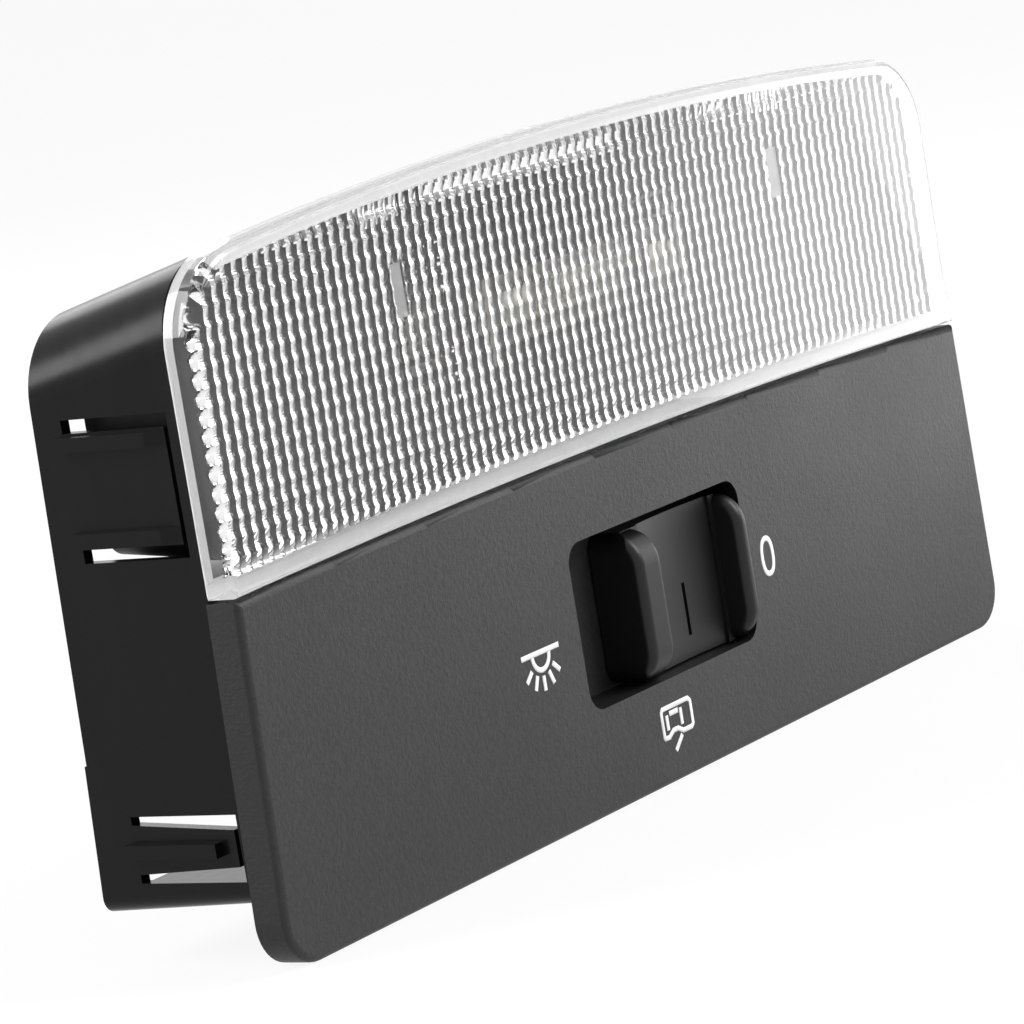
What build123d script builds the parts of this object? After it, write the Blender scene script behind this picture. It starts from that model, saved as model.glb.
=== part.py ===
from build123d import *
import os

# Car dome light: a shallow snap-in housing, open at the back, with a fluted lens over the upper half
# of its face and a panel with a three-position slide switch over the lower half.
# Millimetres. +X is right and +Z is up as one faces the light, and the face looks along -Y.
# The origin is in the seat plane, level with the ends of the joint line between lens and panel.

# Face outline
FACE_WIDTH = 120.0
LENS_SIDE_HEIGHT = 26.2
LENS_CROWN = 3.0
JOINT_CROWN = 1.0
PANEL_HEIGHT = 30.0
TOP_CORNER_RADIUS = 7.5
BOTTOM_CORNER_RADIUS = 4.0
PANEL_FLARE = 1.0
FACE_THICKNESS = 3.1
FACE_JOINT_GAP = 0.25
FACE_EDGE_RADIUS = 0.6

# Housing
HOUSING_DEPTH = 13.9
HOUSING_WALL = 1.1
HOUSING_INSET = 0.3
HOUSING_BOTTOM_RADIUS = 1.5
HOUSING_CORNER_RADIUS = 6.6
HOUSING_TOP_FALL = 3.45
HOUSING_FLOOR_FALL = 0.55
REAR_SLANT = 1.1
REAR_STEP = 0.2
REAR_STEP_DROP = 13.0
REAR_LOWER_SLANT = 0.8
PANEL_OVERHANG = 5.25
PARTITION_THICKNESS = 1.6
PARTITION_DEPTH = 11.6
BAR_BEYOND_RIVET = 3.5
BAR_WIDTH = 14.0
BAR_THICKNESS = 1.6
BAR_RECESS = 1.2

# Wide snap tongue in each side wall, and the narrow arm below it
SLOT_START = 0.95
SLOT_LENGTH = 10.5
TONGUE_BOTTOM = 4.6
TONGUE_HEIGHT = 9.4
TONGUE_SLOT = 1.1
TONGUE_TIP_GAP = 0.4
ARM_DROP = 20.0
ARM_ROOT_WIDTH = 4.1
ARM_TIP_WIDTH = 3.0
ARM_ROOT_SLOT = 0.7
ARM_TIP_SLOT = 1.25
RIB_WIDTH = 1.2
RIB_EDGE = 0.2
RIB_STAND = 0.9
RIB_START = 2.8
RIB_LENGTH = 9.1
RIB_ROOT = 0.4

# Lens
LENS_WALL = 1.5
LENS_FRONT = 1.9
FLUTE_PITCH = 1.5
FLUTE_DEPTH = 0.45
LENS_EDGE_RADIUS = 0.9
WINDOW_OFFSET = 31.5
WINDOW_HEIGHT = 4.7
WINDOW_LEVEL = 19.6
LUG_WIDTH = 6.0
LUG_LENGTH = 3.0
LUG_THICKNESS = 1.0
LUG_CLEARANCE = 0.3

# Panel and switch well
PANEL_WALL = 2.0
PANEL_RIM = 1.8
SEAT_STEP = 0.3
LEDGE_GAP = 0.3
LEDGE_CORES = 9
LEDGE_WEB = 1.4
WELL_OFFSET = 1.0
WELL_FLOOR_GAP = 1.55
WELL_WIDTH = 28.9
WELL_HEIGHT = 14.8
WELL_DEPTH = 4.3
WELL_WALL = 1.2
WELL_RADIUS = 2.0

# Slide switch
TRAVEL = 9.2
KNOB_WIDTH = 19.0
KNOB_GAP = 0.35
KNOB_TOP_GAP = 1.1
KNOB_BOTTOM_GAP = 0.2
KNOB_PROUD = 1.0
KNOB_LIFT = 0.2
LEFT_RIDGE_WIDTH = 3.8
RIGHT_RIDGE_WIDTH = 1.8
RIDGE_RADIUS = 0.8
RIDGE_END_RADIUS = 3.0
SADDLE_DEPTH = 2.8
SADDLE_SAG = 0.3
SADDLE_STEP = 0.3
SADDLE_LEDGE = 0.6
MARK_LENGTH = 4.8
MARK_WIDTH = 0.5
MARK_DEPTH = 0.3
MARK_OFFSET = 0.7
STEM_FROM_END = 3.2
STEM_WIDTH = 3.0
STEM_HEIGHT = 6.0
STEM_CLEARANCE = 0.3
STEM_BARB = 0.4
BARB_LENGTH = 0.6
CARRIAGE_LEFT = 6.0
CARRIAGE_RIGHT = 3.2
CARRIAGE_HEIGHT = 11.0
CARRIAGE_THICKNESS = 2.0
CARRIAGE_FIT = 0.1

# Switch contacts
BRIDGE_OFFSET = 4.0
BRIDGE_WIDTH = 2.6
BRIDGE_THICKNESS = 0.3
BRIDGE_SPAN = 4.8
BRIDGE_END = 1.3
DIMPLE_RADIUS = 0.9
DIMPLE_HEIGHT = 0.6
DIMPLE_GAP = 0.25
PEG_RADIUS = 0.7
STRIP_THICKNESS = 0.6
TRACK_WIDTH = 2.2
TRACK_PAD_WIDTH = 3.4
TRACK_OVERRUN = 2.2
STRIP_WIDTH = 1.2
STRIP_GAP = 0.5
BLADE_WIDTH = 2.8
SUPPLY_BLADE_INSET = 15.7
SWITCH_BLADE_INSET = 20.7
BASE_LEFT = 21.0
BASE_EDGE = 0.3
BASE_THICKNESS = 1.6
POST_RADIUS = 2.2
POST_PIN_RADIUS = 1.2
POST_HEAD_RADIUS = 1.9
POST_HEAD = 0.6
POST_LEFT = 18.0
POST_GAP = 0.75
POST_RISE = 1.8

# Lamp
REFLECTOR_SHEET = 0.5
REFLECTOR_SIDE_GAP = 2.4
REFLECTOR_EDGE_GAP = 0.6
REFLECTOR_TOP_GAP = 1.6
REFLECTOR_FRONT = 0.8
REFLECTOR_SLOPE = 0.5
REFLECTOR_RISE = 0.8
REFLECTOR_FALL = 2.6
REFLECTOR_RADIUS = 7.0
REFLECTOR_BOTTOM_RADIUS = 2.5
STAKE_RADIUS = 0.9
STAKE_HEAD_RADIUS = 1.4
STAKE_HEAD = 0.5
STAKE_FIT = 0.1
STAKE_SPREAD = 6.0
BULB_LEVEL = 14.0
BULB_SETBACK = 4.9
BULB_HALF_LENGTH = 15.5
BULB_RADIUS = 5.0
BULB_NECK_RADIUS = 3.2
BULB_SHOULDER = 3.0
GLASS_WALL = 0.6
CAP_RADIUS = 3.75
CAP_LENGTH = 6.0
CAP_WALL = 0.45
CAP_SEAT = 2.5
CAP_TIP_RADIUS = 1.2
CAP_TIP_LENGTH = 1.6
FILAMENT_RADIUS = 0.55
FILAMENT_HALF_LENGTH = 5.0
LEAD_RADIUS = 0.25
SPRING_SHEET = 0.4
SPRING_WIDTH = 7.0
SPRING_HOLE_RADIUS = 1.9
SPRING_FRONT = 2.8
SPRING_FOOT = 7.2
SPRING_CLEARANCE = 1.0
RIVET_RADIUS = 1.4
RIVET_BORE = 0.8
RIVET_HEAD_RADIUS = 2.3
RIVET_HEAD = 0.5
SUPPLY_STRIP_WIDTH = 4.0

# Levels along Y, from the face to the back
Y_MEET = -SEAT_STEP
Y_FACE = Y_MEET - FACE_THICKNESS
Y_REAR = Y_MEET + HOUSING_DEPTH
Y_BACK = Y_REAR + REAR_SLANT + REAR_STEP + REAR_LOWER_SLANT
Y_BAR_REAR = Y_REAR - BAR_RECESS
Y_BAR_FRONT = Y_BAR_REAR - BAR_THICKNESS
Y_BULB = Y_MEET + BULB_SETBACK
Y_WELL_FLOOR = Y_FACE + WELL_DEPTH
Y_WELL_BACK = Y_WELL_FLOOR + WELL_WALL
Y_CARRIAGE = Y_WELL_BACK + KNOB_LIFT
Y_CARRIAGE_BACK = Y_CARRIAGE + CARRIAGE_THICKNESS
Y_BARB = Y_CARRIAGE_BACK + BARB_LENGTH
Y_TRACK = Y_CARRIAGE_BACK + BRIDGE_THICKNESS + DIMPLE_HEIGHT + DIMPLE_GAP
Y_BASE = Y_TRACK + STRIP_THICKNESS
Y_BASE_BACK = Y_BASE + BASE_THICKNESS

# Places across the face
HALF_WIDTH = FACE_WIDTH / 2
HOUSING_HALF = HALF_WIDTH - HOUSING_INSET
HOUSING_FLOOR = PANEL_OVERHANG - PANEL_HEIGHT
WELL_DROP = -(HOUSING_FLOOR + HOUSING_WALL + WELL_FLOOR_GAP + WELL_WALL + WELL_HEIGHT / 2)
WELL_LEFT = WELL_OFFSET - WELL_WIDTH / 2
WELL_RIGHT = WELL_OFFSET + WELL_WIDTH / 2
KNOB_RIGHT = WELL_RIGHT - KNOB_GAP
KNOB_LEFT = KNOB_RIGHT - KNOB_WIDTH
KNOB_TOP = WELL_HEIGHT / 2 - KNOB_TOP_GAP - WELL_DROP
KNOB_BOTTOM = KNOB_BOTTOM_GAP - WELL_HEIGHT / 2 - WELL_DROP
KNOB_CENTRE = (KNOB_TOP + KNOB_BOTTOM) / 2
STEM_X = KNOB_RIGHT - STEM_FROM_END
BRIDGE_X = STEM_X - BRIDGE_OFFSET
TRACK_Z = BRIDGE_SPAN / 2 - WELL_DROP
PAD_Z = -BRIDGE_SPAN / 2 - WELL_DROP
POST_RIGHT = WELL_RIGHT + WELL_WALL + POST_GAP + POST_RADIUS
POST_TOP = TRACK_Z + TRACK_WIDTH / 2 + STRIP_GAP + POST_RADIUS
POST_BOTTOM = PAD_Z - BLADE_WIDTH / 2 - STRIP_GAP - POST_RADIUS
BASE_TOP = POST_TOP + POST_RADIUS + BASE_EDGE
BASE_BOTTOM = POST_BOTTOM - POST_RADIUS - BASE_EDGE
SPRING_X = BULB_HALF_LENGTH
RIVET_X = SPRING_X + SPRING_SHEET + SPRING_FOOT / 2
BAR_OFFSET = RIVET_X + BAR_BEYOND_RIVET
LAMP_RUN_LEFT = POST_RIGHT + POST_RADIUS + STRIP_GAP
LAMP_RUN_RIGHT = LAMP_RUN_LEFT + SUPPLY_STRIP_WIDTH


def block(x_range, y_range, z_range):
    size = [high - low for low, high in (x_range, y_range, z_range)]
    middle = [(high + low) / 2 for low, high in (x_range, y_range, z_range)]
    return Pos(*middle) * Box(*size)


def rod_y(x, z, radius, y_front, y_rear):
    return Pos(x, (y_front + y_rear) / 2, z) * Rot(90, 0, 0) * Cylinder(radius, y_rear - y_front)


def rod_x(y, z, radius, x_low, x_high):
    return Pos((x_low + x_high) / 2, y, z) * Rot(0, 90, 0) * Cylinder(radius, x_high - x_low)


def prism(sketch, y_front, y_rear):
    """A sketch drawn as one faces the light, given depth from y_front back to y_rear."""
    return extrude(Plane.XZ.offset(-y_rear) * sketch, amount=y_rear - y_front, dir=(0, -1, 0))


def side_cut(points, x_low, x_high):
    """A polygon of (y, z) points run along X."""
    outline = make_face(Polyline(points, close=True))
    return extrude(Plane.YZ.offset(x_low) * outline, amount=x_high - x_low, dir=(1, 0, 0))


def arched_outline(half_width, bottom, bottom_crown, top, top_crown, flare=0):
    """A four-sided outline: its bottom and top rise by their crowns, and its sides may flare to the bottom."""
    half_bottom = half_width + flare
    lower = Line((-half_bottom, bottom), (half_bottom, bottom))
    if bottom_crown:
        lower = ThreePointArc((-half_bottom, bottom), (0, bottom + bottom_crown), (half_bottom, bottom))
    right = Line((half_bottom, bottom), (half_width, top))
    upper = ThreePointArc((half_width, top), (0, top + top_crown), (-half_width, top))
    left = Line((-half_width, top), (-half_bottom, bottom))
    return make_face([lower, right, upper, left])


def top_corners(sketch):
    return sketch.vertices().sort_by(Axis.Y)[-2:]


def bottom_corners(sketch):
    return sketch.vertices().sort_by(Axis.Y)[:2]


def lens_outline():
    sketch = arched_outline(HALF_WIDTH, 0, JOINT_CROWN, LENS_SIDE_HEIGHT, LENS_CROWN)
    return fillet(top_corners(sketch), TOP_CORNER_RADIUS)


def panel_outline():
    sketch = arched_outline(HALF_WIDTH, -PANEL_HEIGHT, 0, -FACE_JOINT_GAP, JOINT_CROWN, PANEL_FLARE)
    return fillet(bottom_corners(sketch), BOTTOM_CORNER_RADIUS)


def inset(sketch, wall):
    return offset(sketch, amount=-wall, kind=Kind.INTERSECTION) if wall else sketch


def depth_share(y):
    return (y - Y_MEET) / HOUSING_DEPTH


def housing_top(y):
    """The housing's rounded top at a depth, over sides that run on downwards."""
    top = LENS_SIDE_HEIGHT - HOUSING_INSET - HOUSING_TOP_FALL * depth_share(y)
    sketch = arched_outline(HOUSING_HALF, -2 * PANEL_HEIGHT, 0, top, LENS_CROWN)
    return fillet(top_corners(sketch), HOUSING_CORNER_RADIUS)


def housing_floor(y):
    """The housing's floor at a depth, under sides that run on upwards."""
    floor = HOUSING_FLOOR - HOUSING_FLOOR_FALL * depth_share(y)
    sketch = arched_outline(HOUSING_HALF, floor, 0, 2 * LENS_SIDE_HEIGHT, LENS_CROWN)
    return fillet(bottom_corners(sketch), HOUSING_BOTTOM_RADIUS)


def falling_prism(sketch, y_front, y_rear, full_fall):
    """A sketch given depth that sinks on its way to the back; full_fall is the drop over the housing's depth."""
    drop = full_fall * (y_rear - y_front) / HOUSING_DEPTH
    way = Vector(0, y_rear - y_front, -drop)
    return extrude(Plane.XZ.offset(-y_front) * sketch, amount=way.length, dir=way.normalized())


def housing_room(wall, y_front, y_rear):
    """The space within the housing's outline, drawn in by a wall: its top and its floor sink to the back."""
    under_top = falling_prism(inset(housing_top(y_front), wall), y_front, y_rear, HOUSING_TOP_FALL)
    return under_top & falling_prism(inset(housing_floor(y_front), wall), y_front, y_rear, HOUSING_FLOOR_FALL)


def front_rim(shape):
    """The outer edges of a face piece's front."""
    return shape.faces().sort_by(Axis.Y)[0].outer_wire().edges()


def flute_cutter():
    """The room behind the lens's front wall: its front is a row of rounded flutes that run up and down."""
    reach = HALF_WIDTH - LENS_WALL
    count = int(2 * reach / FLUTE_PITCH)
    start = -count * FLUTE_PITCH / 2
    crest = Y_FACE + LENS_FRONT
    valley = crest - FLUTE_DEPTH
    edges = [Line((-HALF_WIDTH, valley), (start, valley))]
    for i in range(count):
        left = start + i * FLUTE_PITCH
        right = left + FLUTE_PITCH
        edges.append(ThreePointArc((left, valley), ((left + right) / 2, crest), (right, valley)))
    edges.append(Line((-start, valley), (HALF_WIDTH, valley)))
    edges.append(Polyline((HALF_WIDTH, valley), (HALF_WIDTH, Y_MEET), (-HALF_WIDTH, Y_MEET), (-HALF_WIDTH, valley)))
    height = LENS_SIDE_HEIGHT + LENS_CROWN
    return extrude(make_face(edges), amount=height, dir=(0, 0, 1))


def lens():
    outline = lens_outline()
    body = prism(outline, Y_FACE, Y_MEET)
    body = fillet(front_rim(body).filter_by(lambda e: e.center().Z > LENS_WALL + JOINT_CROWN), LENS_EDGE_RADIUS)
    room = flute_cutter() & prism(inset(outline, LENS_WALL), Y_FACE, Y_MEET)
    body -= room
    crest = Y_FACE + LENS_FRONT
    for side in (-1, 1):
        window = Pos(side * WINDOW_OFFSET, 0, WINDOW_LEVEL)
        pad = Box(FLUTE_PITCH, FLUTE_DEPTH + LENS_FRONT / 2, WINDOW_HEIGHT)
        body += window * Pos(0, crest - (FLUTE_DEPTH + LENS_FRONT / 2) / 2, 0) * pad
    return body + lens_lugs()


def lens_lugs():
    """Tongues behind the lens's top edge that slip inside the housing's falling top wall."""
    under_wall = inset(housing_top(Y_MEET + LUG_LENGTH), HOUSING_WALL + LUG_CLEARANCE)
    hollow = inset(under_wall, LUG_THICKNESS)
    root = prism(inset(lens_outline(), LENS_WALL / 2), Y_MEET - LUG_THICKNESS, Y_MEET)
    strip = prism(under_wall, Y_MEET - LUG_THICKNESS, Y_MEET + LUG_LENGTH) + root
    strip -= prism(hollow, Y_MEET - LUG_THICKNESS, Y_MEET + LUG_LENGTH)
    lugs = []
    for side in (-1, 1):
        centre = side * WINDOW_OFFSET
        span = (centre - LUG_WIDTH / 2, centre + LUG_WIDTH / 2)
        depth = (Y_MEET - LUG_THICKNESS, Y_MEET + LUG_LENGTH)
        lugs.append(strip & block(span, depth, (LENS_SIDE_HEIGHT / 2, LENS_SIDE_HEIGHT + LENS_CROWN)))
    return lugs[0] + lugs[1]


def face_panel():
    outline = panel_outline()
    body = prism(outline, Y_FACE, Y_MEET)
    body = fillet(front_rim(body), FACE_EDGE_RADIUS)
    body -= prism(inset(outline, PANEL_RIM), Y_FACE + PANEL_WALL, Y_MEET)
    body += seat_ledge(outline)
    well = Pos(WELL_OFFSET, -WELL_DROP) * RectangleRounded(WELL_WIDTH, WELL_HEIGHT, WELL_RADIUS)
    body += prism(offset(well, amount=WELL_WALL), Y_FACE + PANEL_WALL / 2, Y_WELL_BACK)
    body -= prism(well, Y_FACE, Y_WELL_FLOOR)
    slot_left = STEM_X - STEM_WIDTH / 2 - TRAVEL - STEM_CLEARANCE
    slot_right = STEM_X + STEM_WIDTH / 2 + STEM_CLEARANCE
    half_slot = STEM_HEIGHT / 2 + STEM_CLEARANCE
    body -= block((slot_left, slot_right), (Y_WELL_FLOOR, Y_WELL_BACK), (-half_slot - WELL_DROP, half_slot - WELL_DROP))
    for x, z in post_places():
        body += rod_y(x, z, POST_RADIUS, Y_FACE + PANEL_WALL / 2, Y_BASE)
        body += rod_y(x, z, POST_PIN_RADIUS, Y_BASE - POST_HEAD, Y_BASE_BACK + POST_HEAD)
        body += rod_y(x, z, POST_HEAD_RADIUS, Y_BASE_BACK, Y_BASE_BACK + POST_HEAD)
    return body


def post_places():
    """Where the panel's three posts stand, clear of the well and of the strips."""
    return [(-POST_LEFT, POST_RISE - WELL_DROP), (POST_RIGHT, POST_TOP), (POST_RIGHT, POST_BOTTOM)]


def seat_ledge(outline):
    """The thick lip below the housing, cored out from behind, whose back face is the seat."""
    top = HOUSING_FLOOR - LEDGE_GAP
    half = HALF_WIDTH + PANEL_FLARE
    zone = block((-half, half), (Y_FACE, 0), (-PANEL_HEIGHT, top))
    ledge = prism(inset(outline, FACE_EDGE_RADIUS), Y_FACE + PANEL_WALL / 2, 0) & zone
    pitch = (FACE_WIDTH - 2 * BOTTOM_CORNER_RADIUS) / LEDGE_CORES
    for i in range(LEDGE_CORES):
        centre = (i - (LEDGE_CORES - 1) / 2) * pitch
        core_x = (centre - pitch / 2 + LEDGE_WEB / 2, centre + pitch / 2 - LEDGE_WEB / 2)
        core_z = (-PANEL_HEIGHT + PANEL_RIM, top - LEDGE_WEB)
        ledge -= block(core_x, (Y_FACE + PANEL_WALL, 0), core_z)
    return ledge


def housing():
    body = housing_room(0, Y_MEET, Y_BACK)
    body -= housing_room(HOUSING_WALL, Y_MEET, Y_BACK)
    half = PARTITION_THICKNESS / 2
    reach = HOUSING_HALF - HOUSING_WALL / 2
    band = arched_outline(reach, -half, JOINT_CROWN, half, JOINT_CROWN)
    body += prism(band, Y_MEET, Y_MEET + PARTITION_DEPTH)
    body += cross_bars()
    top = LENS_SIDE_HEIGHT + LENS_CROWN
    step = Y_REAR + REAR_SLANT
    clear = Y_BACK + REAR_SLANT
    behind_rim = [
        (Y_REAR, top),
        (step, -REAR_STEP_DROP),
        (step + REAR_STEP, -REAR_STEP_DROP),
        (Y_BACK, -PANEL_HEIGHT),
        (clear, -PANEL_HEIGHT),
        (clear, top),
    ]
    body -= side_cut(behind_rim, -HALF_WIDTH, HALF_WIDTH)
    for side in (-1, 1):
        body -= snap_slots(side)
        body += snap_ribs(side)
    return body


def cross_bars():
    """Two upright bars across the open back, with the pins that hold the reflector."""
    bars = []
    for side in (-1, 1):
        low = side * BAR_OFFSET - BAR_WIDTH / 2
        tall = (-PANEL_HEIGHT, LENS_SIDE_HEIGHT + LENS_CROWN)
        bar = block((low, low + BAR_WIDTH), (Y_BAR_FRONT, Y_BAR_REAR), tall)
        bar &= housing_room(HOUSING_WALL / 2, Y_BAR_FRONT, Y_BAR_REAR)
        for x, z in stake_places(side):
            bar += rod_y(x, z, STAKE_RADIUS, Y_BAR_FRONT - REFLECTOR_SHEET - STAKE_HEAD, Y_BAR_FRONT + STAKE_HEAD)
            head_front = Y_BAR_FRONT - REFLECTOR_SHEET - STAKE_HEAD
            bar += rod_y(x, z, STAKE_HEAD_RADIUS, head_front, head_front + STAKE_HEAD)
        bar -= rod_y(side * RIVET_X, BULB_LEVEL, RIVET_RADIUS, Y_BAR_FRONT, Y_BAR_REAR)
        bars.append(bar)
    passage_x = (LAMP_RUN_LEFT - STRIP_GAP, LAMP_RUN_RIGHT + STRIP_GAP)
    passage_z = (BASE_TOP - STRIP_GAP, BASE_TOP + STRIP_THICKNESS + STRIP_GAP)
    return bars[0] + bars[1] - block(passage_x, (Y_BAR_FRONT, Y_BAR_REAR), passage_z)


def stake_places(side):
    """The reflector's two fixing pins on one bar, above and below the bulb spring."""
    return [(side * BAR_OFFSET, BULB_LEVEL + offset_z) for offset_z in (-STAKE_SPREAD, STAKE_SPREAD)]


def snap_slots(side):
    """The cuts that free the wide tongue and the narrow arm in one side wall."""
    x_low = HOUSING_HALF - 2 * HOUSING_WALL
    x_high = HOUSING_HALF + RIB_STAND
    if side < 0:
        x_low, x_high = -x_high, -x_low
    y_start = Y_MEET + SLOT_START
    y_end = y_start + SLOT_LENGTH
    tongue_top = TONGUE_BOTTOM + TONGUE_HEIGHT
    cuts = block((x_low, x_high), (y_start, y_end), (tongue_top, tongue_top + TONGUE_SLOT))
    cuts += block((x_low, x_high), (y_start, y_end), (TONGUE_BOTTOM - TONGUE_SLOT, TONGUE_BOTTOM))
    tips = (y_start, y_start + TONGUE_TIP_GAP)
    cuts += block((x_low, x_high), tips, (TONGUE_BOTTOM, tongue_top))
    arm_half = (ARM_TIP_WIDTH + ARM_TIP_SLOT) / 2
    cuts += block((x_low, x_high), tips, (-ARM_DROP - arm_half, -ARM_DROP + arm_half))
    for way in (-1, 1):
        tip_z = -ARM_DROP + way * ARM_TIP_WIDTH / 2
        root_z = -ARM_DROP + way * ARM_ROOT_WIDTH / 2
        corners = [
            (y_start, tip_z),
            (y_end, root_z),
            (y_end, root_z + way * ARM_ROOT_SLOT),
            (y_start, tip_z + way * ARM_TIP_SLOT),
        ]
        cuts += side_cut(corners, x_low, x_high)
    return cuts


def snap_ribs(side):
    """Two ramped ribs along the tongue's edges, and a square-ended one along the arm."""
    tongue_top = TONGUE_BOTTOM + TONGUE_HEIGHT
    ribs = rib(TONGUE_BOTTOM + RIB_EDGE, True, side) + rib(tongue_top - RIB_EDGE - RIB_WIDTH, True, side)
    return ribs + rib(-ARM_DROP - RIB_WIDTH / 2, False, side)


def rib(bottom, ramped, side):
    outer = HOUSING_HALF + RIB_STAND
    root = HOUSING_HALF - RIB_ROOT
    start = Y_MEET + RIB_START
    end = start + RIB_LENGTH
    points = [(root, start), (outer, start), (outer, end), (root, end)]
    if ramped:
        tip = Y_MEET + SLOT_START + TONGUE_TIP_GAP
        points = [(root, tip), (HOUSING_HALF, tip), (outer, start), (outer, end), (root, end)]
    outline = make_face(Polyline([(side * x, y) for x, y in points], close=True))
    return extrude(Plane.XY.offset(bottom) * outline, amount=RIB_WIDTH, dir=(0, 0, 1))


def reflector():
    """A pressed trough: a flat back on the bars, with four sides that flare to the front."""
    outer = reflector_trough(0)
    body = outer - reflector_trough(REFLECTOR_SHEET)
    for side in (-1, 1):
        low, high = sorted((side * (SPRING_X - SPRING_CLEARANCE), side * (RIVET_X + SPRING_FOOT / 2 + SPRING_CLEARANCE)))
        half = SPRING_WIDTH / 2 + SPRING_CLEARANCE
        window = (BULB_LEVEL - half, BULB_LEVEL + half)
        body -= block((low, high), (Y_BAR_FRONT - REFLECTOR_SHEET, Y_BAR_FRONT), window)
        for x, z in stake_places(side):
            body -= rod_y(x, z, STAKE_RADIUS + STAKE_FIT, Y_BAR_FRONT - REFLECTOR_SHEET, Y_BAR_FRONT)
    return body


def reflector_trough(sheet):
    """The trough's outer shape, or its inside when it is drawn in by the sheet's thickness."""
    front = reflector_outline(sheet, 0, 0, 0)
    back = reflector_outline(sheet, REFLECTOR_SLOPE, REFLECTOR_RISE, REFLECTOR_FALL)
    front_y = Y_MEET + REFLECTOR_FRONT
    back_y = Y_BAR_FRONT - sheet
    return loft([Plane.XZ.offset(-front_y) * front, Plane.XZ.offset(-back_y) * back])


def reflector_outline(sheet, slope, rise, fall):
    half = HALF_WIDTH - REFLECTOR_SIDE_GAP - sheet - slope
    low = JOINT_CROWN + PARTITION_THICKNESS / 2 + REFLECTOR_EDGE_GAP + sheet + rise
    high = LENS_SIDE_HEIGHT - REFLECTOR_TOP_GAP - sheet - fall
    sketch = Pos(0, (low + high) / 2) * Rectangle(2 * half, high - low)
    sketch = fillet(top_corners(sketch), REFLECTOR_RADIUS - sheet)
    return fillet(bottom_corners(sketch), REFLECTOR_BOTTOM_RADIUS - sheet)


def revolve_on_bulb(points):
    """A closed (x, radius) outline spun about the bulb's axis."""
    profile = make_face(Polyline(points, close=True))
    turned = revolve(profile, axis=Axis.X)
    return Pos(0, Y_BULB, BULB_LEVEL) * turned


def bulb_glass():
    end = BULB_HALF_LENGTH - CAP_LENGTH + CAP_SEAT
    shoulder = BULB_HALF_LENGTH - CAP_LENGTH - BULB_SHOULDER
    neck = BULB_HALF_LENGTH - CAP_LENGTH
    outer = [(-end, BULB_NECK_RADIUS), (-neck, BULB_NECK_RADIUS), (-shoulder, BULB_RADIUS)]
    outer += [(shoulder, BULB_RADIUS), (neck, BULB_NECK_RADIUS), (end, BULB_NECK_RADIUS)]
    inner = [(x, radius - GLASS_WALL) for x, radius in reversed(outer)]
    return revolve_on_bulb(outer + inner)


def bulb_cap(side):
    """A thimble round the glass's neck, closed by a blunt point that sits in the spring's hole."""
    mouth = BULB_HALF_LENGTH - CAP_LENGTH
    nose = BULB_HALF_LENGTH + CAP_TIP_LENGTH
    bore = CAP_RADIUS - CAP_WALL
    points = [
        (mouth, bore),
        (mouth, CAP_RADIUS),
        (BULB_HALF_LENGTH - CAP_TIP_LENGTH, CAP_RADIUS),
        (BULB_HALF_LENGTH, SPRING_HOLE_RADIUS),
        (nose, CAP_TIP_RADIUS),
        (nose, 0),
        (mouth + CAP_SEAT, 0),
        (mouth + CAP_SEAT, bore),
    ]
    return revolve_on_bulb([(side * x, radius) for x, radius in points])


def bulb_filament():
    """Two lead wires from the caps to a short close coil."""
    end = BULB_HALF_LENGTH - CAP_LENGTH + CAP_SEAT
    wire = rod_x(Y_BULB, BULB_LEVEL, LEAD_RADIUS, -end, end)
    return wire + rod_x(Y_BULB, BULB_LEVEL, FILAMENT_RADIUS, -FILAMENT_HALF_LENGTH, FILAMENT_HALF_LENGTH)


def bulb_spring(side):
    """A bent strip: a foot riveted to the bar, and an upright whose hole takes the bulb's point."""
    low, high = BULB_LEVEL - SPRING_WIDTH / 2, BULB_LEVEL + SPRING_WIDTH / 2
    upright_x = sorted((side * SPRING_X, side * (SPRING_X + SPRING_SHEET)))
    upright = block(upright_x, (Y_BULB - SPRING_FRONT, Y_BAR_FRONT), (low, high))
    upright -= rod_x(Y_BULB, BULB_LEVEL, SPRING_HOLE_RADIUS, upright_x[0], upright_x[1])
    foot_x = sorted((side * SPRING_X, side * (SPRING_X + SPRING_SHEET + SPRING_FOOT)))
    foot = block(foot_x, (Y_BAR_FRONT - SPRING_SHEET, Y_BAR_FRONT), (low, high))
    foot -= rod_y(side * RIVET_X, BULB_LEVEL, RIVET_RADIUS, Y_BAR_FRONT - SPRING_SHEET, Y_BAR_FRONT)
    return upright + foot


def spring_rivet(side):
    """A hollow rivet through a spring's foot, its bar and the strip behind it."""
    front = Y_BAR_FRONT - SPRING_SHEET
    rear = Y_BAR_REAR + STRIP_THICKNESS
    x = side * RIVET_X
    rivet = rod_y(x, BULB_LEVEL, RIVET_RADIUS, front, rear)
    rivet += rod_y(x, BULB_LEVEL, RIVET_HEAD_RADIUS, front - RIVET_HEAD, front)
    rivet += rod_y(x, BULB_LEVEL, RIVET_HEAD_RADIUS, rear, rear + RIVET_HEAD)
    return rivet - rod_y(x, BULB_LEVEL, RIVET_BORE, front - RIVET_HEAD, rear + RIVET_HEAD)


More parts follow.
